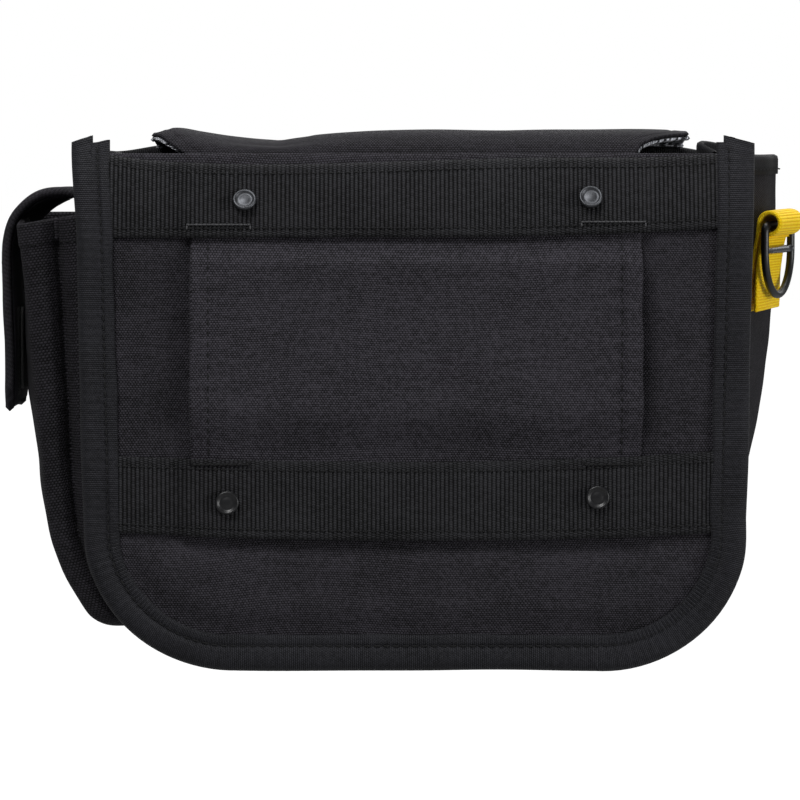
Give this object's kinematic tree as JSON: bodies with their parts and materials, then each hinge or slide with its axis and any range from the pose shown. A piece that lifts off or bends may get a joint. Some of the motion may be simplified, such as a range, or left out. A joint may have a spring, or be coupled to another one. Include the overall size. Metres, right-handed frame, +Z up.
{
  "type": "electrician tool pouch",
  "caption": "Belt-worn fabric tool pouch with a bound back panel, belt sleeve held by riveted webbing, folding main flap, side pocket with strap flap, and a webbing tab with a swinging D-ring.",
  "frame": {"origin": "middle of the tunnel that the waist belt runs through, between the belt sleeve and the back panel", "axes": "-Y points to the wearer's hip, +Y out of the pouch's front, +Z up, +X to the right as seen from behind, where the D-ring is"},
  "size_m": [0.2576, 0.1102, 0.1706],
  "materials": {
    "black_fabric": "coated basket-weave polyester, matt with a faint sheen",
    "black_tape": "ribbed woven webbing and binding tape",
    "heather_lining": "heathered grey knit lining",
    "stiffener_board": "plain sheet, hidden inside the back",
    "yellow_webbing": "golden yellow woven webbing",
    "gunmetal": "grey rivet metal, satin",
    "black_metal": "glossy black painted wire and rivets",
    "hook_and_loop": "black hook-and-loop fastener",
    "zip_plastic": "black moulded zip teeth"
  },
  "bodies": {
    "pouch": {"back_binding": "black_tape", "back_lining": "black_fabric", "back_panel": "black_fabric", "back_stiffener": "stiffener_board", "belt_sleeve": "black_fabric", "d_ring_tab": "yellow_webbing", "flap_anchor": "black_fabric", "front_loop_patch_left": "hook_and_loop", "front_loop_patch_right": "hook_and_loop", "front_panel": "black_fabric", "front_piping": "black_tape", "front_pocket_left": "black_fabric", "front_pocket_right": "black_fabric", "front_pocket_tape_left": "black_tape", "front_pocket_tape_right": "black_tape", "gusset": "black_fabric", "inner_pocket": "black_fabric", "inner_pocket_tape": "black_tape", "lower_webbing": "black_tape", "mouth_tape_front": "black_tape", "mouth_tape_left": "black_tape", "mouth_tape_right": "black_tape", "rivet_cap_lower_left": "black_metal", "rivet_cap_lower_right": "black_metal", "rivet_cap_upper_left": "gunmetal", "rivet_cap_upper_right": "gunmetal", "rivet_post_lower_left": "black_metal", "rivet_post_lower_right": "black_metal", "rivet_post_upper_left": "gunmetal", "rivet_post_upper_right": "gunmetal", "side_flap_anchor": "black_fabric", "side_pocket": "black_fabric", "side_pocket_loop_patch": "hook_and_loop", "tool_loop_webbing": "black_tape", "upper_webbing": "black_tape"},
    "flap_top": {"flap_top_shell": "black_fabric", "flap_top_lining": "heather_lining"},
    "flap_front": {"flap_front_shell": "black_fabric", "flap_front_lining": "heather_lining", "flap_pocket_panel": "black_fabric", "zip_tape": "black_tape", "zip_chain": "zip_plastic", "flap_hook_patch_left": "hook_and_loop", "flap_hook_patch_right": "hook_and_loop"},
    "zip_slider": {"zip_slider": "black_metal"},
    "zip_pull": {"zip_pull": "black_metal"},
    "side_flap": {"side_flap_shell": "black_fabric", "side_flap_lining": "black_fabric", "side_flap_hook_patch": "hook_and_loop"},
    "d_ring": {"d_ring": "black_metal"}
  },
  "joints": [
    {"name": "flap_lift", "type": "hinge", "parent": "pouch", "child": "flap_top", "pos_m": [0, 0.0155, 0.0635], "axis": [1, 0, 0], "range_deg": [0, 125]},
    {"name": "flap_fold", "type": "hinge", "parent": "flap_top", "child": "flap_front", "pos_m": [0, 0.0995, 0.064], "axis": [1, 0, 0], "range_deg": [0, 85]},
    {"name": "zip_slide", "type": "slide", "parent": "flap_front", "child": "zip_slider", "axis": [1, 0, 0], "range_m": [0, 0.12]},
    {"name": "zip_pull_swing", "type": "hinge", "parent": "zip_slider", "child": "zip_pull", "pos_m": [-0.058, 0.1044, 0.048], "axis": [1, 0, 0], "range_deg": [0, 150]},
    {"name": "side_flap_lift", "type": "hinge", "parent": "pouch", "child": "side_flap", "pos_m": [-0.11, 0.045, 0.05], "axis": [0, 1, 0], "range_deg": [0, 80]},
    {"name": "d_ring_swing", "type": "hinge", "parent": "pouch", "child": "d_ring", "pos_m": [0.11708, 0.04466, 0.0382], "axis": [-0.3551, -0.9348, 0], "range_deg": [0, 150]}
  ]
}
